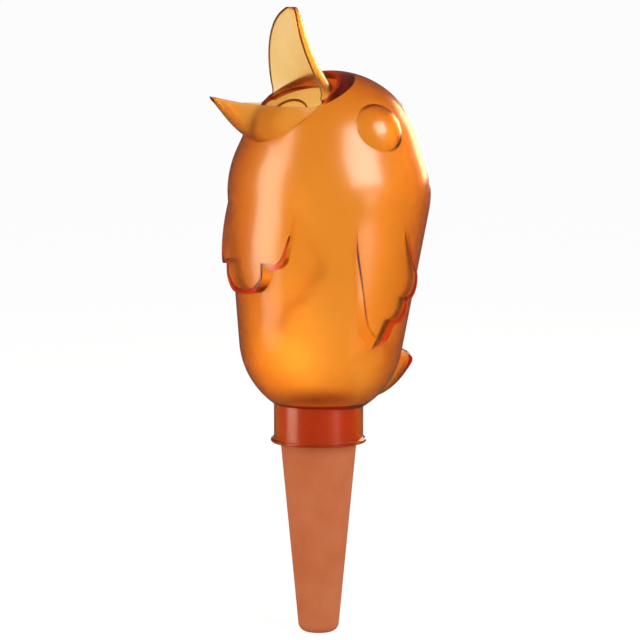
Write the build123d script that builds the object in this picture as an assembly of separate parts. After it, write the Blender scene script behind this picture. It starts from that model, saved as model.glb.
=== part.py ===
from build123d import *
import os
from math import acos, asin, atan2, cos, degrees, radians, sin, sqrt

# Self watering spike: a hollow bird of clear moulded plastic that is filled
# through its open beak, standing on a hollow cone of porous clay.
# Millimetres. The bird looks along -Y and Z is up. The origin is on the neck's
# axis at the soil line, which is the underside of the neck's flange.

# Neck of the bird
neck_r = 18.9
neck_wall = 1.8
flange_r = 20.2
flange_t = 1.8
flange_edge = 0.5
bore_depth = 16.5
ledge_t = 1.8
throat_r = 12.5

# Egg of the bird: three balls on its leaning axis, with tangent cones between them
wall = 1.8
hip_r = 34.6
hip_z = 44.6
breast_r = 42.8
breast_z = 106.0
crown_r = 38.3
crown_rise = 12.4
egg_seam = 63.0

# How far the egg leans back, in degrees from upright, and the height it leans about
lean = 4.0
lean_z = 27.0

# Raised feathers: bib on the chest and a wing on each side
relief = 3.4
relief_low_z = 42.0
relief_mid_z = 66.0
relief_end_z = 93.0
feather_foot_z = 34.0
feather_top_z = 116.0
feather_root = 10.0
feather_reach = 60.0
bib_relief = 4.2
bib_tip_relief = 4.8
bib_swell_low_z = 64.0
bib_swell_mid_z = 80.0
bib_swell_end_z = 99.0
bib_tip_z = 65.6
bib_toe_w = 8.4
bib_toe_z = 67.0
bib_flank_w = 12.2
bib_flank_z = 72.2
bib_cusp_w = 12.6
bib_cusp_z = 78.0
bib_lobe_w = 18.4
bib_lobe_z = 76.7
bib_side_w = 22.8
bib_side_z = 81.2
bib_mid_w = 25.2
bib_mid_z = 90.0
bib_top_w = 27.0
bib_core_w = 5.0
bib_core_z = 80.0
bib_lobe_y = 34.0
bib_lobe_slant = 0.5
wing_turn = 4.0
wing_plane_x = 34.0
wing_slant_y = 0.1
wing_slant_z = 1.0
wing_far = 80.0
wing_fore_y = -19.0
wing_top_y = -8.8
wing_upper_y = -8.6
wing_upper_z = 86.0
wing_front_y = -8.8
wing_front_z = 72.6
wing_low_y = -8.0
wing_low_z = 56.0
wing_heel_y = -6.0
wing_heel_z = 47.5
wing_tip_y = -0.2
wing_tip_z = 41.7
wing_toe_y = 0.5
wing_toe_z = 38.0
feather_a_y = 8.2
feather_a_z = 53.2
feather_a_bow_y = 14.4
feather_a_bow_z = 55.0
feather_b_y = 15.8
feather_b_z = 62.0
feather_b_bow_y = 21.8
feather_b_bow_z = 65.2
wing_rear_y = 22.6
wing_rear_z = 73.0
wing_back_y = 17.4
wing_back_z = 83.0
wing_end_y = 15.2

# Eyes
eye_r = 10.1
eye_proud = 4.6
eye_z = 134.6
eye_turn = 89.0

# Rim of the head round the beak
rim_fwd = 19.6
rim_drop = 12.2
rim_tilt = 32.9
rim_lip = 3.4
lower_lip = 0.4
groove_w = 2.3
groove_d = 3.0
groove_end = -2.0

# Open beak, measured from the middle of the head's rim
beak_wall = 1.0
mouth_round = 5.0
mouth_drop = 4.0
upper_len = 37.8
upper_low_h = 15.7
upper_low_w = 14.8
upper_low_d = 9.6
upper_low_fwd = 3.85
upper_mid_h = 26.9
upper_mid_w = 10.9
upper_mid_d = 7.6
upper_mid_fwd = 5.65
upper_end_h = 33.4
upper_end_w = 7.6
upper_end_d = 5.4
upper_end_fwd = 5.05
upper_tip_w = 3.0
upper_tip_d = 2.1
upper_tip_fwd = 3.05
lower_len = 42.6
lower_low_l = 20.0
lower_low_w = 15.5
lower_low_d = 15.6
lower_low_up = -2.0
lower_mid_l = 30.8
lower_mid_w = 9.4
lower_mid_d = 9.6
lower_mid_up = -0.8
lower_end_l = 38.2
lower_end_w = 4.4
lower_end_d = 4.2
lower_end_up = 0.8
lower_tip_w = 1.7
lower_tip_d = 1.5
lower_tip_up = 2.0

# Tail
tail_end_y = 45.0
tail_z = 32.6
tail_mid_y = 35.0
tail_mid_z = 29.6
tail_mid_w = 10.5
tail_mid_h = 10.0
tail_root_z = 31.0
tail_root_w = 13.0
tail_root_h = 14.0
tail_end_w = 7.0
tail_end_h = 3.4
tail_edge = 1.6
tail_wall = 1.2
tail_root_y = 20.0

# Clay cone
cone_r = 16.1
cone_len = 81.7
cone_end_r = 8.3
cone_end_round = 3.8
cone_wall = 4.4
cone_floor = 7.0
collar_h = 0.8
stub_r = 14.6

# Seal between the clay stub and the neck
seal_fit = 0.05
seal_seat = 0.05
seal_lip_t = 1.2
seal_lip_r = 11.2

neck_bore_r = neck_r - neck_wall
crown_z = breast_z + crown_rise
crown_top_z = crown_z + crown_r
floor_z = bore_depth + ledge_t
stub_top_z = bore_depth - seal_seat - seal_lip_t
eye_ball_r = (eye_r ** 2 + eye_proud ** 2) / (2 * eye_proud)


egg_axis = Vector(0, sin(radians(lean)), cos(radians(lean)))
egg_frame = Plane(Vector(0, 0, lean_z) - egg_axis * lean_z, x_dir=(1, 0, 0), z_dir=egg_axis)


def egg_line(grow):
    """Outline of the egg, moved outwards by grow: arcs of the three balls joined by tangents."""
    rise = degrees(asin((breast_r - hip_r) / (breast_z - hip_z)))
    fall = degrees(asin((breast_r - crown_r) / crown_rise))
    foot = degrees(acos((neck_r - wall) / hip_r))
    hip = CenterArc((0, hip_z), hip_r + grow, -foot, foot - rise)
    breast = CenterArc((0, breast_z), breast_r + grow, -rise, rise + fall)
    crown = CenterArc((0, crown_z), crown_r + grow, fall, 90 - fall)
    side = [hip, Line(hip @ 1, breast @ 0), breast, Line(breast @ 1, crown @ 0), crown]
    return Rot(90, 0, 0) * Wire(side)


egg_outline = egg_line(0.0)


def outline_at(z):
    """Point and outward normal of the egg's outline at height z along its axis."""
    low, high = 0.0, 1.0
    for _ in range(40):
        mid = (low + high) / 2
        if (egg_outline @ mid).Z < z:
            low = mid
        else:
            high = mid
    run = egg_outline % low
    return egg_outline @ low, Vector(run.Z, 0, -run.X)


def egg(grow):
    """Egg body, grown by that much square to its outline and revolved about its leaning axis."""
    side = egg_line(grow)
    foot = side @ 0
    rest = Polyline(side @ 1, (0, 0, foot.Z), foot)
    section = make_face(Curve() + side.edges() + rest.edges())
    return egg_frame * Rot(0, 0, egg_seam) * revolve(section, Axis.Z)


def barrel(low_rise, rise, low_z, mid_z, end_z, shrink):
    """Barrel that stands proud of the egg low down and dips into it higher up, so that feathers fade out."""
    low = outline_at(low_z)[0] + Vector(low_rise - shrink, 0, 0)
    mid = outline_at(mid_z)[0] + Vector(rise - shrink, 0, 0)
    end = outline_at(end_z)[0] - Vector(shrink, 0, 0)
    bow = ThreePointArc(low, mid, end)
    middle = bow.arc_center
    foot = middle.X + sqrt(bow.radius ** 2 - (feather_foot_z - middle.Z) ** 2)
    top = middle.X + sqrt(bow.radius ** 2 - (feather_top_z - middle.Z) ** 2)
    side = ThreePointArc((foot, 0, feather_foot_z), mid, (top, 0, feather_top_z))
    rest = Polyline(side @ 1, (0, 0, feather_top_z), (0, 0, feather_foot_z), side @ 0)
    section = make_face(Curve() + [side, rest])
    return egg_frame * Rot(0, 0, egg_seam) * revolve(section, Axis.Z)


# Middle of the head's rim and the radius that the beak springs from
rim_mid = egg_frame.from_local_coords(Vector(0, -rim_fwd, crown_top_z - rim_drop))
rim_y = rim_mid.Y
rim_z = rim_mid.Z
rim_r = sqrt(outline_at(crown_top_z - rim_drop)[0].X ** 2 - rim_fwd ** 2)
root_r = rim_r - rim_lip
lower_root_r = rim_r - lower_lip
rim_plane = Plane(rim_mid, x_dir=(1, 0, 0), z_dir=(0, -sin(radians(rim_tilt)), cos(radians(rim_tilt))))

mouth_corner = rim_plane.from_local_coords(Vector(0, 0, -mouth_drop))


def above_rim(drop):
    """Everything in front of the head's rim, or of a plane that far behind it."""
    return rim_plane * Pos(0, 0, 100 - drop) * Box(300, 300, 200)


def bib_middle(shrink):
    """Middle feather of the bib, seen from the front."""
    tip = (0, bib_tip_z + shrink)
    toe = (bib_toe_w - shrink, bib_toe_z + shrink)
    flank = (bib_flank_w - shrink, bib_flank_z + shrink / 2)
    cusp = (bib_cusp_w - shrink, bib_cusp_z + shrink / 2)
    top_z = feather_top_z + 1
    with BuildSketch(Plane.XZ.offset(feather_root)) as sketch:
        with BuildLine():
            Spline(tip, toe, flank, cusp, tangents=((1, 0), (0.1, 1)))
            Polyline(cusp, (cusp[0], top_z), (0, top_z))
            mirror(about=Plane.YZ)
        make_face()
    return extrude(sketch.sketch, feather_reach)


def bib_scallop(shrink):
    """Scallop of the bib on the bird's left, whose edge stands square to the round chest."""
    cusp = (bib_cusp_w - shrink, bib_cusp_z + shrink / 2)
    lobe = (bib_lobe_w - shrink, bib_lobe_z + shrink)
    side = (bib_side_w - shrink, bib_side_z + shrink)
    mid = (bib_mid_w - shrink, bib_mid_z)
    top = (bib_top_w - shrink, feather_top_z + 1)
    with BuildSketch(Plane.XZ.offset(bib_lobe_y)) as sketch:
        with BuildLine():
            ThreePointArc(cusp, lobe, side)
            Spline(side, mid, top)
            Polyline(top, (bib_core_w, top[1]), (bib_core_w, bib_core_z), cusp)
        make_face()
    return extrude(sketch.sketch, bib_lobe_y - feather_root, dir=(bib_lobe_slant, -1, 0), both=True)


def bib(shrink):
    """Raised bib on the chest, which fades into the breast."""
    body = barrel(bib_tip_relief, bib_relief, bib_swell_low_z, bib_swell_mid_z, bib_swell_end_z, shrink)
    scallop = bib_scallop(shrink)
    return body & bib_middle(shrink) + scallop + mirror(scallop, about=Plane.YZ)


def wing_rear(inset):
    """Wing seen from the side, bounded at the back by its stepped feathers."""
    top_z = feather_top_z + 1
    low_z = feather_foot_z - 1
    toe = (wing_toe_y - inset, wing_toe_z)
    step_a = (feather_a_y - inset, feather_a_z + inset)
    step_b = (feather_b_y - inset, feather_b_z + inset)
    rear = (wing_rear_y - inset, wing_rear_z)
    end = (wing_end_y - inset, top_z)
    with BuildSketch(Plane.YZ.offset(feather_root)) as sketch:
        with BuildLine():
            Polyline(end, (wing_fore_y, top_z), (wing_fore_y, low_z), (toe[0], low_z), toe, step_a)
            ThreePointArc(step_a, (feather_a_bow_y - inset, feather_a_bow_z + inset), step_b)
            ThreePointArc(step_b, (feather_b_bow_y - inset, feather_b_bow_z + inset), rear)
            Spline(rear, (wing_back_y - inset, wing_back_z), end)
        make_face()
    return extrude(sketch.sketch, feather_reach)


def wing_front(inset):
    """Space behind the wing's front edge and above its tip, slanted so that both edges are bevelled."""
    low_z = wing_tip_z + inset
    with BuildSketch(Plane.YZ.offset(wing_plane_x)) as sketch:
        with BuildLine():
            front = Spline(
                (wing_top_y + inset, feather_top_z), (wing_upper_y + inset, wing_upper_z),
                (wing_front_y + inset, wing_front_z), (wing_low_y + inset, wing_low_z),
                (wing_heel_y + inset, wing_heel_z + inset), (wing_tip_y + inset, low_z),
            )
            Polyline(front @ 1, (wing_far, low_z), (wing_far, feather_top_z), front @ 0)
        make_face()
    return extrude(sketch.sketch, feather_reach, dir=(1, wing_slant_y, wing_slant_z), both=True)


def wing(inset, shrink):
    """Raised wing on the bird's left, with a bevelled front and tip, which fades into the side."""
    body = barrel(relief, relief, relief_low_z, relief_mid_z, relief_end_z, shrink)
    return body & Rot(0, 0, wing_turn) * wing_rear(inset) & Rot(0, 0, wing_turn) * wing_front(inset)


def eye_ball(shrink):
    """Ball whose cap stands proud of the cheek as an eye."""
    point, normal = outline_at(eye_z)
    middle = point - normal * (eye_ball_r - eye_proud)
    return egg_frame * Rot(0, 0, eye_turn - 90) * Pos(middle) * Rot(0, 0, 180) * Sphere(eye_ball_r - shrink)


def within(size, shrink):
    """Half size of a hollow inside a wall, which still has room at a thin tip."""
    return max(size - shrink, size * 0.4)


def oval(plane, w, d, shrink, start):
    """Oval w wide and d deep, whose outline starts on its deep axis."""
    return plane * Rot(0, 0, start) * Ellipse(within(d, shrink), within(w, shrink))


def upper_beak(shrink, sink):
    """Upper half of the beak as a full bulb, before the mouth is opened."""
    rows = [
        (upper_low_h, upper_low_w, upper_low_d, upper_low_fwd),
        (upper_mid_h, upper_mid_w, upper_mid_d, upper_mid_fwd),
        (upper_end_h, upper_end_w, upper_end_d, upper_end_fwd),
        (upper_len, upper_tip_w, upper_tip_d, upper_tip_fwd),
    ]
    rings = [oval(rim_plane * Pos(0, 0, -sink), root_r, root_r, shrink, -90)]
    for h, w, d, fwd in rows:
        rings.append(oval(Pos(0, rim_y - fwd, rim_z + h - shrink), w, d, shrink, -90))
    return loft(rings)


def lower_beak(shrink, sink):
    """Lower half of the beak as a full bulb, before the mouth is opened."""
    rows = [
        (lower_low_l, lower_low_w, lower_low_d, lower_low_up),
        (lower_mid_l, lower_mid_w, lower_mid_d, lower_mid_up),
        (lower_end_l, lower_end_w, lower_end_d, lower_end_up),
        (lower_len, lower_tip_w, lower_tip_d, lower_tip_up),
    ]
    rings = [oval(rim_plane * Pos(0, 0, -sink), lower_root_r, lower_root_r, shrink, 90)]
    for reach, w, d, up in rows:
        face = Plane(origin=(0, rim_y - reach + shrink, rim_z + up), x_dir=(1, 0, 0), z_dir=(0, -1, 0))
        rings.append(oval(face, w, d, shrink, 90))
    return loft(rings)


def mouth():
    """Opening between the two halves of the beak, rounded at the corners of the mouth."""
    far = 2 * (upper_len + lower_len)
    with BuildSketch(Plane.YZ) as sketch:
        with BuildLine():
            corner = (mouth_corner.Y, mouth_corner.Z)
            up = Spline(
                corner, (rim_y - upper_low_fwd, rim_z + upper_low_h),
                (rim_y - upper_mid_fwd, rim_z + upper_mid_h),
                (rim_y - upper_end_fwd, rim_z + upper_end_h), (rim_y - upper_tip_fwd, rim_z + upper_len),
            )
            Line(up @ 1, (rim_y - upper_tip_fwd, rim_z + far))
            Line((rim_y - upper_tip_fwd, rim_z + far), (rim_y - far, rim_z + far))
            Line((rim_y - far, rim_z + far), (rim_y - far, rim_z + lower_tip_up))
            out = Spline(
                corner, (rim_y - lower_low_l, rim_z + lower_low_up),
                (rim_y - lower_mid_l, rim_z + lower_mid_up),
                (rim_y - lower_end_l, rim_z + lower_end_up), (rim_y - lower_len, rim_z + lower_tip_up),
            )
            Line(out @ 1, (rim_y - far, rim_z + lower_tip_up))
        make_face()
        fillet(sketch.vertices().sort_by_distance((mouth_corner.Y, mouth_corner.Z, 0))[0], mouth_round)
    return extrude(sketch.sketch, 60, both=True)


def tail(shrink, sink):
    """Short upturned tail, a loft of three ovals that starts inside the egg."""
    rows = [
        (tail_root_y - sink, tail_root_z, tail_root_w, tail_root_h),
        (tail_mid_y - shrink, tail_mid_z, tail_mid_w, tail_mid_h),
        (tail_end_y - 2 * shrink, tail_z, tail_end_w, tail_end_h),
    ]
    rings = []
    for y, z, w, h in rows:
        face = Plane(origin=(0, y, z), x_dir=(-1, 0, 0), z_dir=(0, 1, 0))
        rings.append(oval(face, w, h, shrink, 90))
    return loft(rings)


def rounded_tail():
    """Tail whose end has its edge rounded over."""
    solid = tail(0.0, 0.0)
    return fillet(solid.faces().sort_by(Axis.Y)[-1].edges(), tail_edge)


def neck_and_flange():
    disc = Cylinder(flange_r, flange_t, align=(Align.CENTER, Align.CENTER, Align.MIN))
    disc = chamfer(disc.edges().filter_by(GeomType.CIRCLE), flange_edge)
    return disc + Cylinder(neck_r, floor_z, align=(Align.CENTER, Align.CENTER, Align.MIN))


def half(side):
    """Half space on one side of the plane that divides the upper beak from the lower."""
    return rim_plane * Pos(0, 100 * side, 0) * Box(200, 200, 400)


def beak():
    """Both halves of the beak, still closed and solid."""
    upper = upper_beak(0.0, groove_d + wall / 2) & half(1)
    lower = lower_beak(0.0, groove_d + wall / 2) & half(-1)
    return upper + lower


def above_groove(drop):
    """Everything above the sloping floor of the groove, or above a plane that far under it."""
    slope = degrees(atan2(groove_d, root_r - groove_end))
    block = Pos(0, 0, 2 * root_r - drop) * Box(8 * root_r, 8 * root_r, 4 * root_r)
    return rim_plane * Pos(0, groove_end, 0) * Rot(-slope, 0, 0) * block


def groove():
    """Channel between the crown and the upper beak, which runs out at the corners of the mouth."""
    return rim_plane * Cylinder(root_r + groove_w, 2 * root_r) & above_groove(0.0)


def bird_reservoir():
    head = egg(0.0) - above_rim(0.0) - groove()
    shell = head + neck_and_flange()
    shell += bib(0.0)
    shell += wing(0.0, 0.0)
    shell += mirror(wing(0.0, 0.0), about=Plane.YZ)
    shell += eye_ball(0.0)
    shell += mirror(eye_ball(0.0), about=Plane.YZ)
    shell += rounded_tail()
    shell += beak()
    shell -= mouth()
    hollow = egg(-wall) - above_rim(wall) - above_groove(wall)
    hollow += bib(wall)
    hollow += wing(wall, wall)
    hollow += mirror(wing(wall, wall), about=Plane.YZ)
    hollow += tail(tail_wall, wall)
    hollow += eye_ball(wall)
    hollow += mirror(eye_ball(wall), about=Plane.YZ)
    shell -= hollow & Pos(0, 0, floor_z) * Box(300, 300, 400, align=(Align.CENTER, Align.CENTER, Align.MIN))
    shell -= upper_beak(beak_wall, groove_d + 2 * wall) & half(1)
    shell -= lower_beak(beak_wall, groove_d + 2 * wall) & half(-1)
    shell -= Cylinder(neck_bore_r, bore_depth, align=(Align.CENTER, Align.CENTER, Align.MIN))
    shell -= Cylinder(throat_r, floor_z + 1, align=(Align.CENTER, Align.CENTER, Align.MIN))
    return shell


def clay_cone():
    """Hollow cone of porous clay, with a stub that enters the neck."""
    slope = (cone_r - cone_end_r) / cone_len
    top_r = cone_r + slope * collar_h
    inner_top = stub_r - cone_wall
    inner_end = cone_end_r + slope * cone_floor - cone_wall
    with BuildSketch(Plane.XZ) as body:
        with BuildLine():
            Polyline(
                (0, -cone_len), (cone_end_r, -cone_len), (top_r, collar_h), (stub_r, collar_h),
                (stub_r, stub_top_z), (inner_top, stub_top_z), (inner_end, cone_floor - cone_len),
                (0, cone_floor - cone_len), (0, -cone_len),
            )
        make_face()
    solid = revolve(body.sketch, Axis.Z)
    return fillet(solid.edges().group_by(Axis.Z)[0], cone_end_round)


def neck_seal():
    """Soft sleeve on the clay stub, with a lip that covers the stub's rim under the neck's ledge."""
    sleeve_r = neck_bore_r - seal_fit
    lip_top = bore_depth - seal_seat
    with BuildSketch(Plane.XZ) as body:
        with BuildLine():
            Polyline(
                (stub_r, collar_h), (sleeve_r, collar_h), (sleeve_r, lip_top), (seal_lip_r, lip_top),
                (seal_lip_r, stub_top_z), (stub_r, stub_top_z), (stub_r, collar_h),
            )
        make_face()
    return revolve(body.sketch, Axis.Z)


def main():
    os.makedirs("parts", exist_ok=True)
    export_step(bird_reservoir(), "parts/bird_reservoir.step")
    export_step(clay_cone(), "parts/clay_cone.step")
    export_step(neck_seal(), "parts/neck_seal.step")


main()
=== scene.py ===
import math

import bpy
import numpy as np
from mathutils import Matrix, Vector


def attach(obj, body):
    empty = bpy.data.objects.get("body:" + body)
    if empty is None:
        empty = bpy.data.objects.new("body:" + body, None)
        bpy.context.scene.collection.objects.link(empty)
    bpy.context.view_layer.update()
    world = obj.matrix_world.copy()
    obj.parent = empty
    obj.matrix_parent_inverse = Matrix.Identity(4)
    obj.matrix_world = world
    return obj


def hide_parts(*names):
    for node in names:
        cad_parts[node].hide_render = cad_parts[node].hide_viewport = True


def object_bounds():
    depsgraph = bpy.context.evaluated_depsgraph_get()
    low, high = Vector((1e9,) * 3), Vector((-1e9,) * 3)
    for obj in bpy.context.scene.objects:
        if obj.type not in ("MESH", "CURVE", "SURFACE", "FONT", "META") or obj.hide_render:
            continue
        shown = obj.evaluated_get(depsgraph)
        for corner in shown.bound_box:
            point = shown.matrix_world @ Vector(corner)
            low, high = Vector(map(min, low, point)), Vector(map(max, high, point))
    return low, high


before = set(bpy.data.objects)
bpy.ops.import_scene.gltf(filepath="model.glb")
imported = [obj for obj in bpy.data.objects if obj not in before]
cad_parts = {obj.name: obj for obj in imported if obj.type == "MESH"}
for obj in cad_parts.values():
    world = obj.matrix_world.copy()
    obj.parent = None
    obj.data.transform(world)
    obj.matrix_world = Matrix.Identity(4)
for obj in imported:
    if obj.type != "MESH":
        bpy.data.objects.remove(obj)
CAD_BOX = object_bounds()

bl_info = {
    "name": "Self Watering Spike",
    "version": (1, 0, 0),
    "blender": (4, 5, 0),
    "location": "3D View > Sidebar > Watering Spike",
    "description": "Dresses a bird-shaped watering spike in clear amber plastic and fired clay",
    "category": "Object",
}

# Points of the bird's mesh that lie closer than this are one point, in metres.
MERGE_GAP = 1e-6

# Spans of height up the body's axis over which the shift of the wings' edge changes, in metres.
WING_FOOT = (0.030, 0.044)
WING_RISE = (0.058, 0.090)
WING_SHOULDER = (0.097, 0.118)

# Where the top of the bib is shaded as one form with the breast: heights and reach, in metres.
BIB_TOP_BEGINS = (0.088, 0.096)
BIB_TOP_ENDS = (0.102, 0.110)
BIB_REACH = (0.026, 0.034)
BIB_PASSES = 10

# Part of a noise's range that is spread over a whole mask.
MASK_SPAN = (0.2, 0.8)

# Marks per metre in each finish, and how many there are to one pore of the clay.
PLASTIC_MARKS = 45.0
CLAY_PATCHES = 70.0
CLAY_SPECKS_PER_PORE = 0.6
RUBBER_MARKS = 90.0
RUBBER_SPECKS = 1200.0

# Roughness between the smoothest and the dullest places, for the plastic as shares of its mean.
PLASTIC_GLOSS = (0.9, 1.1)
CLAY_ROUGHNESS = (0.82, 0.95)
RUBBER_ROUGHNESS = (0.45, 0.6)

# What the darker places keep of the red, green and blue.
PLASTIC_DARKER = (1.0, 0.96, 0.90)
RUBBER_DARKER = (0.85, 0.85, 0.85)

SENSOR_WIDTH = 36.0
CLIP_NEAR = 0.05
CLIP_FAR = 50.0

FLOOR_SIZE = 60.0
FLOOR_GAP = 0.0002
FLOOR_COLOUR = (0.92, 0.92, 0.92, 1.0)
FLOOR_GLOW = 0.9

WHITE = (1.0, 1.0, 1.0)
CREAM = (1.0, 0.97, 0.80)
WARM = (1.0, 0.82, 0.45)
LAMP_AIM = Vector((0.0, 0.0, 0.09))

# Name, turn from the camera's side in degrees, distance, rise, width, height, watts, colour.
LAMPS = (
    ("Left softbox", -71.0, 1.0, 0.24, 0.6, 1.1, 9.4, CREAM),
    ("Right softbox", 44.0, 1.0, 0.55, 0.75, 0.8, 12.0, WHITE),
    ("Low right softbox", 47.0, 1.0, -0.14, 0.3, 0.5, 0.75, WHITE),
    ("Rim softbox", 143.0, 1.0, 0.22, 0.34, 0.4, 2.4, WARM),
    ("Back softbox", 164.0, 1.0, 0.05, 0.14, 0.2, 0.5, WHITE),
    ("Low back softbox", -174.0, 0.35, -0.11, 0.06, 0.05, 0.015, WHITE),
)


class SPIKE_PG_plastic(bpy.types.PropertyGroup):
    """Clear amber plastic of the bird."""

    tint: bpy.props.FloatVectorProperty(
        name="Tint", description="Colour that each skin of the plastic lets through",
        subtype="COLOR", size=3, min=0.0, max=1.0, default=(1.0, 0.985, 0.95),
    )
    depth_tint: bpy.props.FloatVectorProperty(
        name="Depth tint", description="Colour that is left where light runs far inside the wall",
        subtype="COLOR", size=3, min=0.0, max=1.0, default=(0.962, 0.67, 0.0),
    )
    depth_density: bpy.props.FloatProperty(
        name="Depth density", description="How fast the wall soaks up light, per metre",
        default=1000.0, min=0.0,
    )
    gloss_roughness: bpy.props.FloatProperty(
        name="Roughness", description="Mean roughness of the moulded skin",
        subtype="FACTOR", default=0.235, min=0.0, max=1.0,
    )


class SPIKE_PG_wing(bpy.types.PropertyGroup):
    """How far the front edge of each wing is drawn forward round the body."""

    lean: bpy.props.FloatProperty(
        name="Body lean", description="Angle by which the body's axis leans back",
        subtype="ANGLE", unit="ROTATION", default=math.radians(4.0),
    )
    lean_height: bpy.props.FloatProperty(
        name="Lean height", description="Height about which the body leans",
        subtype="DISTANCE", unit="LENGTH", default=0.027,
    )
    edge: bpy.props.FloatProperty(
        name="Edge", description="Where the front edge lies, round the body from its side",
        subtype="ANGLE", unit="ROTATION", default=math.radians(-14.0),
    )
    reach: bpy.props.FloatProperty(
        name="Reach", description="How far round the body the shift fades out",
        subtype="ANGLE", unit="ROTATION", default=math.radians(24.0),
    )
    high_shift: bpy.props.FloatProperty(
        name="High shift", description="Shift of the front edge at its top",
        subtype="ANGLE", unit="ROTATION", default=math.radians(6.6),
    )
    low_shift: bpy.props.FloatProperty(
        name="Low shift", description="Shift of the front edge near its tip",
        subtype="ANGLE", unit="ROTATION", default=math.radians(1.4),
    )
    soft_crease: bpy.props.FloatProperty(
        name="Soft crease", description="Creases flatter than this are shaded as one round form",
        subtype="ANGLE", unit="ROTATION", default=math.radians(17.0),
    )


class SPIKE_PG_clay(bpy.types.PropertyGroup):
    """Fired clay of the cone."""

    body: bpy.props.FloatVectorProperty(
        name="Clay", description="Main colour of the fired clay",
        subtype="COLOR", size=3, min=0.0, max=1.0, default=(0.355, 0.086, 0.027),
    )
    pale: bpy.props.FloatVectorProperty(
        name="Pale clay", description="Colour of the drier patches",
        subtype="COLOR", size=3, min=0.0, max=1.0, default=(0.381, 0.110, 0.042),
    )
    grain: bpy.props.FloatProperty(
        name="Grain", description="Size of the clay's pores",
        subtype="DISTANCE", unit="LENGTH", default=0.0006, min=0.0001,
    )


class SPIKE_PG_seal(bpy.types.PropertyGroup):
    """Soft sleeve between the clay and the neck."""

    rubber: bpy.props.FloatVectorProperty(
        name="Rubber", description="Colour of the sleeve",
        subtype="COLOR", size=3, min=0.0, max=1.0, default=(0.66, 0.07, 0.05),
    )


class SPIKE_PG_stage(bpy.types.PropertyGroup):
    """Camera and room."""

    azimuth: bpy.props.FloatProperty(
        name="Azimuth", description="Side from which the camera looks",
        subtype="ANGLE", unit="ROTATION", default=math.radians(54.0),
    )
    elevation: bpy.props.FloatProperty(
        name="Elevation", description="Height of the camera above the horizon",
        subtype="ANGLE", unit="ROTATION", default=math.radians(7.0),
    )
    view_height: bpy.props.FloatProperty(
        name="View height", description="Height of the picture at the object",
        subtype="DISTANCE", unit="LENGTH", default=0.2709,
    )
    view_up: bpy.props.FloatProperty(
        name="View rise", description="Middle of the picture above the soil line, up the picture",
        subtype="DISTANCE", unit="LENGTH", default=0.0512,
    )
    view_right: bpy.props.FloatProperty(
        name="View shift", description="Middle of the picture beside the neck's axis",
        subtype="DISTANCE", unit="LENGTH", default=0.0006,
    )
    lens: bpy.props.FloatProperty(
        name="Lens", description="Focal length in millimetres", default=200.0,
    )
    world_level: bpy.props.FloatProperty(
        name="Room light", description="Level of the light from all round", default=0.78,
    )
    mirror_level: bpy.props.FloatProperty(
        name="Room mirrored", description="Level of the room as the plastic mirrors it",
        default=0.07,
    )


def material(name):
    """New node material with an output and nothing else."""
    made = bpy.data.materials.new(name)
    made.use_nodes = True
    tree = made.node_tree
    tree.nodes.clear()
    out = tree.nodes.new("ShaderNodeOutputMaterial")
    return made, tree, out


def add(tree, kind, **values):
    """Adds a node and sets its plain inputs by name."""
    node = tree.nodes.new(kind)
    for key, value in values.items():
        node.inputs[key.replace("_", " ")].default_value = value
    return node


def mottle_group():
    """Broad and fine mottling of a surface, from its own coordinates."""
    group = bpy.data.node_groups.get("Surface mottle")
    if group:
        return group
    group = bpy.data.node_groups.new("Surface mottle", "ShaderNodeTree")
    for name in ("Broad scale", "Fine scale"):
        group.interface.new_socket(name, in_out="INPUT", socket_type="NodeSocketFloat")
    for name in ("Broad", "Fine"):
        group.interface.new_socket(name, in_out="OUTPUT", socket_type="NodeSocketFloat")
    source = group.nodes.new("NodeGroupInput")
    sink = group.nodes.new("NodeGroupOutput")
    place = group.nodes.new("ShaderNodeTexCoord")
    broad = add(group, "ShaderNodeTexNoise", Detail=1.0, Roughness=0.5)
    fine = add(group, "ShaderNodeTexNoise", Detail=5.0, Roughness=0.65)
    for name, noise in (("Broad", broad), ("Fine", fine)):
        group.links.new(place.outputs["Object"], noise.inputs["Vector"])
        group.links.new(source.outputs[name + " scale"], noise.inputs["Scale"])
        group.links.new(noise.outputs["Fac"], sink.inputs[name])
    return group


def place_mottle(tree, broad_scale, fine_scale=None):
    """Places the mottling in a material at that material's own scales."""
    node = tree.nodes.new("ShaderNodeGroup")
    node.node_tree = mottle_group()
    node.inputs["Broad scale"].default_value = broad_scale
    if fine_scale is not None:
        node.inputs["Fine scale"].default_value = fine_scale
    return node


def spread(tree, value, low=0.0, high=1.0):
    """Maps a noise to low..high."""
    node = add(
        tree, "ShaderNodeMapRange",
        From_Min=MASK_SPAN[0], From_Max=MASK_SPAN[1], To_Min=low, To_Max=high,
    )
    node.interpolation_type = "SMOOTHSTEP"
    tree.links.new(value, node.inputs["Value"])
    return node.outputs["Result"]


def blend_colours(tree, mask, first, second):
    """Colour that runs from the first to the second with the mask."""
    node = tree.nodes.new("ShaderNodeMix")
    node.data_type = "RGBA"
    node.inputs["A"].default_value = (*first, 1.0)
    node.inputs["B"].default_value = (*second, 1.0)
    tree.links.new(mask, node.inputs["Factor"])
    return node.outputs["Result"]


def darker(colour, kept):
    """Colour of which only the given shares are kept."""
    return tuple(c * share for c, share in zip(colour, kept))


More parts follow.
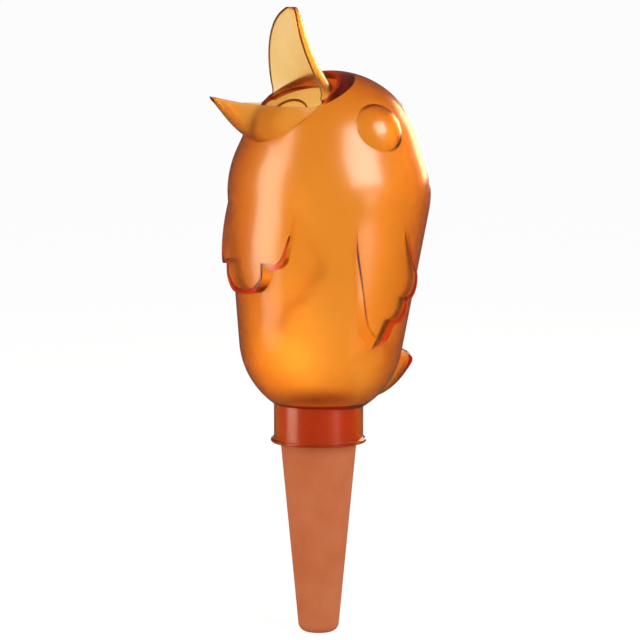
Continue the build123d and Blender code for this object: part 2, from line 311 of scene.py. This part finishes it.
def amber_plastic(looks):
    """Clear moulded plastic whose wall turns redder the further light runs through it."""
    made, tree, out = material("Clear amber plastic")
    skin = add(
        tree, "ShaderNodeBsdfPrincipled",
        IOR=1.49, Metallic=0.0, Transmission_Weight=1.0, Coat_Weight=0.6, Coat_Roughness=0.26,
    )
    broad = place_mottle(tree, PLASTIC_MARKS).outputs["Broad"]
    tint = tuple(looks.tint)
    colour = blend_colours(tree, spread(tree, broad), tint, darker(tint, PLASTIC_DARKER))
    tree.links.new(colour, skin.inputs["Base Color"])
    smooth, dull = (looks.gloss_roughness * share for share in PLASTIC_GLOSS)
    tree.links.new(spread(tree, broad, smooth, dull), skin.inputs["Roughness"])
    soak = add(tree, "ShaderNodeVolumeAbsorption", Density=looks.depth_density)
    soak.inputs["Color"].default_value = (*looks.depth_tint, 1.0)
    tree.links.new(skin.outputs["BSDF"], out.inputs["Surface"])
    tree.links.new(soak.outputs["Volume"], out.inputs["Volume"])
    return made


def fired_clay(looks):
    """Matt unglazed clay with paler patches and open pores."""
    made, tree, out = material("Porous fired clay")
    skin = add(tree, "ShaderNodeBsdfPrincipled", IOR=1.45, Specular_IOR_Level=0.25)
    mottle = place_mottle(tree, CLAY_PATCHES, CLAY_SPECKS_PER_PORE / looks.grain)
    patches = spread(tree, mottle.outputs["Broad"])
    colour = blend_colours(tree, patches, tuple(looks.body), tuple(looks.pale))
    fine = mottle.outputs["Fine"]
    speck = add(tree, "ShaderNodeMix", Factor=0.22)
    speck.data_type = "RGBA"
    speck.blend_type = "MULTIPLY"
    tree.links.new(colour, speck.inputs["A"])
    tree.links.new(fine, speck.inputs["B"])
    tree.links.new(speck.outputs["Result"], skin.inputs["Base Color"])
    tree.links.new(spread(tree, fine, *CLAY_ROUGHNESS), skin.inputs["Roughness"])
    bump = add(tree, "ShaderNodeBump", Strength=0.35, Distance=0.0002)
    tree.links.new(fine, bump.inputs["Height"])
    tree.links.new(bump.outputs["Normal"], skin.inputs["Normal"])
    tree.links.new(skin.outputs["BSDF"], out.inputs["Surface"])
    return made


def seal_rubber(looks):
    """Soft red rubber of the sleeve."""
    made, tree, out = material("Soft sleeve rubber")
    skin = add(tree, "ShaderNodeBsdfPrincipled", IOR=1.5)
    mottle = place_mottle(tree, RUBBER_MARKS, RUBBER_SPECKS)
    rubber = tuple(looks.rubber)
    marks = spread(tree, mottle.outputs["Broad"])
    colour = blend_colours(tree, marks, rubber, darker(rubber, RUBBER_DARKER))
    tree.links.new(colour, skin.inputs["Base Color"])
    rough = spread(tree, mottle.outputs["Fine"], *RUBBER_ROUGHNESS)
    tree.links.new(rough, skin.inputs["Roughness"])
    tree.links.new(skin.outputs["BSDF"], out.inputs["Surface"])
    return made


def dress(mesh, made):
    """Gives a mesh its one finish."""
    mesh.materials.clear()
    mesh.materials.append(made)


def ramp(values, low, high):
    """Smooth step from 0 at low to 1 at high."""
    share = np.clip((values - low) / (high - low), 0.0, 1.0)
    return share * share * (3.0 - 2.0 * share)


def unit(vectors):
    """Vectors brought to length 1."""
    return vectors / np.linalg.norm(vectors, axis=1, keepdims=True)


def vectors_of(items, name):
    """Vectors that a mesh keeps for its points or corners."""
    values = np.empty(3 * len(items), dtype=np.float32)
    items.foreach_get(name, values)
    return values.reshape(-1, 3).astype(float)


def merged_copy(node, name):
    """Copy of a CAD node with its loose triangles joined, which keeps the faces' own normals."""
    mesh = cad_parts[node].data.copy()
    mesh.name = name
    normals = vectors_of(mesh.corner_normals, "vector")
    kept = mesh.attributes.new("face_normal", "FLOAT_VECTOR", "CORNER")
    kept.data.foreach_set("vector", normals.ravel())
    piece = bpy.data.objects.new(name, mesh)
    bpy.context.scene.collection.objects.link(piece)
    bpy.ops.object.select_all(action="DESELECT")
    piece.select_set(True)
    bpy.context.view_layer.objects.active = piece
    bpy.ops.object.mode_set(mode="EDIT")
    bpy.ops.mesh.select_all(action="SELECT")
    bpy.ops.mesh.remove_doubles(threshold=MERGE_GAP)
    bpy.ops.object.mode_set(mode="OBJECT")
    return piece


def turned(vectors, angles, side, rear):
    """Vectors turned by their own angles from the side direction towards the rear."""
    across = vectors @ side
    along = vectors @ rear
    cos, sin = np.cos(angles), np.sin(angles)
    change_side = across * (cos - 1.0) - along * sin
    change_rear = across * sin + along * (cos - 1.0)
    return vectors + np.outer(change_side, side) + np.outer(change_rear, rear)


def softened(normals, corners, limit):
    """Corner normals averaged, at each point, with those that lean less than the limit."""
    order = np.argsort(corners, kind="stable")
    breaks = np.flatnonzero(np.diff(corners[order])) + 1
    nearest = math.cos(limit)
    soft = normals.copy()
    for group in np.split(order, breaks):
        here = normals[group]
        alike = here @ here.T > nearest
        soft[group] = alike.astype(float) @ here
    return unit(soft)


def point_means(vectors, corners, count):
    """Mean direction, at each point, of the vectors at its corners."""
    total = np.zeros((count, 3))
    np.add.at(total, corners, vectors)
    return unit(total)


def eased(normals, corners, share, passes):
    """Corner normals of triangles drawn towards the mean round each point, by its share."""
    weight = share[corners][:, None]
    for _ in range(passes):
        points = point_means(normals, corners, len(share))
        middles = points[corners].reshape(-1, 3, 3).mean(axis=1)
        around = point_means(np.repeat(middles, 3, axis=0), corners, len(share))
        normals = unit(normals * (1.0 - weight) + around[corners] * weight)
    return normals


def wing_turns(local, axis, rear, looks):
    """Angle by which each point turns round the body, most at the top of the wings' front edge."""
    height = local @ axis
    hand = np.where(local[:, 0] < 0.0, -1.0, 1.0)
    place = np.arctan2(local @ rear, np.abs(local[:, 0]))
    share = np.clip(np.abs(place - looks.edge) / looks.reach, 0.0, 1.0)
    shift = looks.low_shift + (looks.high_shift - looks.low_shift) * ramp(height, *WING_RISE)
    shift = shift * ramp(height, *WING_FOOT) * (1.0 - ramp(height, *WING_SHOULDER))
    return -hand * shift * np.cos(share * math.pi / 2) ** 2


def bib_top(points):
    """How much each point belongs to the top of the bib."""
    share = ramp(points[:, 2], *BIB_TOP_BEGINS) * (1.0 - ramp(points[:, 2], *BIB_TOP_ENDS))
    return share * ramp(-points[:, 1], *BIB_REACH)


def draw_wings_forward(piece, looks):
    """Slides the front edge of each wing round the body, and shades shallow creases softly."""
    mesh = piece.data
    points = vectors_of(mesh.vertices, "co")
    corners = np.empty(len(mesh.loops), dtype=np.int32)
    mesh.loops.foreach_get("vertex_index", corners)
    normals = vectors_of(mesh.attributes["face_normal"].data, "vector")
    mesh.attributes.remove(mesh.attributes["face_normal"])

    side = np.array((1.0, 0.0, 0.0))
    rear = np.array((0.0, math.cos(looks.lean), -math.sin(looks.lean)))
    axis = np.array((0.0, math.sin(looks.lean), math.cos(looks.lean)))
    start = np.array((0.0, 0.0, looks.lean_height)) - axis * looks.lean_height
    turns = wing_turns(points - start, axis, rear, looks)
    moved = start + turned(points - start, turns, side, rear)
    mesh.vertices.foreach_set("co", moved.ravel())

    normals = softened(normals, corners, looks.soft_crease)
    normals = eased(normals, corners, bib_top(points), BIB_PASSES)
    normals = turned(normals, turns[corners], side, rear)
    mesh.normals_split_custom_set([tuple(n) for n in normals])
    mesh.update()


class SPIKE_OT_bird(bpy.types.Operator):
    """Makes the hollow bird of clear amber plastic"""

    bl_idname = "spike.bird"
    bl_label = "Bird reservoir"

    def execute(self, context):
        bird = merged_copy("bird_reservoir", "moulded_bird")
        draw_wings_forward(bird, context.scene.spike_wing)
        dress(bird.data, amber_plastic(context.scene.spike_plastic))
        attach(bird, "bird")
        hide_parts("bird_reservoir")
        return {"FINISHED"}


class SPIKE_OT_clay_cone(bpy.types.Operator):
    """Dresses the cone in porous fired clay"""

    bl_idname = "spike.clay_cone"
    bl_label = "Clay cone"

    def execute(self, context):
        dress(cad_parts["clay_cone"].data, fired_clay(context.scene.spike_clay))
        return {"FINISHED"}


class SPIKE_OT_neck_seal(bpy.types.Operator):
    """Dresses the sleeve between the clay and the neck"""

    bl_idname = "spike.neck_seal"
    bl_label = "Neck seal"

    def execute(self, context):
        dress(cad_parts["neck_seal"].data, seal_rubber(context.scene.spike_seal))
        return {"FINISHED"}


def lens_level(tree, seen, mirrored, other):
    """Level that is seen, also through the plastic, that is mirrored, and that lights the rest."""
    path = tree.nodes.new("ShaderNodeLightPath")
    through = tree.nodes.new("ShaderNodeMath")
    through.operation = "MAXIMUM"
    tree.links.new(path.outputs["Is Camera Ray"], through.inputs[0])
    tree.links.new(path.outputs["Is Transmission Ray"], through.inputs[1])
    glossy = add(tree, "ShaderNodeMapRange", To_Min=other, To_Max=mirrored)
    tree.links.new(path.outputs["Is Glossy Ray"], glossy.inputs["Value"])
    pick = add(tree, "ShaderNodeMapRange", To_Max=seen)
    tree.links.new(through.outputs["Value"], pick.inputs["Value"])
    tree.links.new(glossy.outputs["Result"], pick.inputs["To Min"])
    return pick.outputs["Result"]


def camera_axes(stage):
    """Right, up and towards-camera directions of the picture."""
    az, el = stage.azimuth, stage.elevation
    right = Vector((math.cos(az), math.sin(az), 0.0))
    toward = Vector((math.sin(az) * math.cos(el), -math.cos(az) * math.cos(el), math.sin(el)))
    return right, toward.cross(right), toward


def add_camera(scene, stage):
    """Camera at the photograph's viewing angle."""
    right, up, toward = camera_axes(stage)
    target = right * stage.view_right + up * stage.view_up
    camera = bpy.data.cameras.new("Camera")
    camera.lens = stage.lens
    camera.sensor_width = SENSOR_WIDTH
    camera.sensor_fit = "HORIZONTAL"
    camera.clip_start = CLIP_NEAR
    camera.clip_end = CLIP_FAR
    eye = bpy.data.objects.new("Camera", camera)
    scene.collection.objects.link(eye)
    eye.location = target + toward * (stage.view_height * stage.lens / SENSOR_WIDTH)
    eye.rotation_euler = toward.to_track_quat("Z", "Y").to_euler()
    scene.camera = eye


def add_floor():
    """Pale floor just below the tip of the cone, white to the lens, with a faint shadow."""
    bpy.ops.object.select_all(action="DESELECT")
    bpy.ops.mesh.primitive_plane_add(
        size=FLOOR_SIZE, location=(0, 0, CAD_BOX[0][2] - FLOOR_GAP)
    )
    floor = bpy.context.object
    floor.name = "Floor"
    floor.visible_glossy = False
    made, tree, out = material("Pale floor")
    matt = add(tree, "ShaderNodeBsdfDiffuse", Color=FLOOR_COLOUR)
    glow = add(tree, "ShaderNodeEmission", Strength=1.0)
    mix = tree.nodes.new("ShaderNodeMixShader")
    tree.links.new(lens_level(tree, FLOOR_GLOW, FLOOR_GLOW, 0.0), mix.inputs["Fac"])
    tree.links.new(matt.outputs["BSDF"], mix.inputs[1])
    tree.links.new(glow.outputs["Emission"], mix.inputs[2])
    tree.links.new(mix.outputs["Shader"], out.inputs["Surface"])
    floor.data.materials.append(made)


def add_room(scene, stage):
    """Light from all round, white to the lens and dim where the plastic mirrors it."""
    world = bpy.data.worlds.new("Studio")
    scene.world = world
    world.use_nodes = True
    sky = world.node_tree
    back = sky.nodes["Background"]
    back.inputs["Color"].default_value = (*WHITE, 1.0)
    level = lens_level(sky, 1.0, stage.mirror_level, stage.world_level)
    sky.links.new(level, back.inputs["Strength"])


def add_lamps(scene, stage):
    """Soft rectangular lamps round the object, each turned to its middle."""
    right, _, toward = camera_axes(stage)
    front = Vector((toward.x, toward.y, 0.0)).normalized()
    for name, turn, far, rise, width, height, watts, colour in LAMPS:
        light = bpy.data.lights.new(name, "AREA")
        light.shape = "RECTANGLE"
        light.size = width
        light.size_y = height
        light.energy = watts
        light.color = colour
        angle = math.radians(turn)
        out = front * math.cos(angle) + right * math.sin(angle)
        where = LAMP_AIM + out * far + Vector((0, 0, rise))
        lamp = bpy.data.objects.new(name, light)
        scene.collection.objects.link(lamp)
        lamp.location = where
        lamp.rotation_euler = (LAMP_AIM - where).to_track_quat("-Z", "Y").to_euler()


class SPIKE_OT_stage(bpy.types.Operator):
    """Adds the camera, the floor, the room and the lamps"""

    bl_idname = "spike.stage"
    bl_label = "Stage"

    def execute(self, context):
        scene = context.scene
        add_camera(scene, scene.spike_stage)
        add_floor()
        add_room(scene, scene.spike_stage)
        add_lamps(scene, scene.spike_stage)
        scene.view_settings.view_transform = "Standard"
        return {"FINISHED"}


class SPIKE_PT_sidebar(bpy.types.Panel):
    """Lists the pieces of the watering spike"""

    bl_idname = "SPIKE_PT_sidebar"
    bl_label = "Watering Spike"
    bl_space_type = "VIEW_3D"
    bl_region_type = "UI"
    bl_category = "Watering Spike"

    def draw(self, context):
        layout = self.layout
        for name in ("spike.bird", "spike.clay_cone", "spike.neck_seal", "spike.stage"):
            layout.operator(name)


CLASSES = (
    SPIKE_PG_plastic, SPIKE_PG_wing, SPIKE_PG_clay, SPIKE_PG_seal, SPIKE_PG_stage,
    SPIKE_OT_bird, SPIKE_OT_clay_cone, SPIKE_OT_neck_seal, SPIKE_OT_stage, SPIKE_PT_sidebar,
)


def register():
    for cls in CLASSES:
        bpy.utils.register_class(cls)
    bpy.types.Scene.spike_plastic = bpy.props.PointerProperty(type=SPIKE_PG_plastic)
    bpy.types.Scene.spike_wing = bpy.props.PointerProperty(type=SPIKE_PG_wing)
    bpy.types.Scene.spike_clay = bpy.props.PointerProperty(type=SPIKE_PG_clay)
    bpy.types.Scene.spike_seal = bpy.props.PointerProperty(type=SPIKE_PG_seal)
    bpy.types.Scene.spike_stage = bpy.props.PointerProperty(type=SPIKE_PG_stage)


def unregister():
    del bpy.types.Scene.spike_stage
    del bpy.types.Scene.spike_seal
    del bpy.types.Scene.spike_clay
    del bpy.types.Scene.spike_wing
    del bpy.types.Scene.spike_plastic
    for cls in reversed(CLASSES):
        bpy.utils.unregister_class(cls)


def main():
    register()
    bpy.ops.spike.bird()
    bpy.ops.spike.clay_cone()
    bpy.ops.spike.neck_seal()
    bpy.ops.spike.stage()


if __name__ == "__main__":
    main()
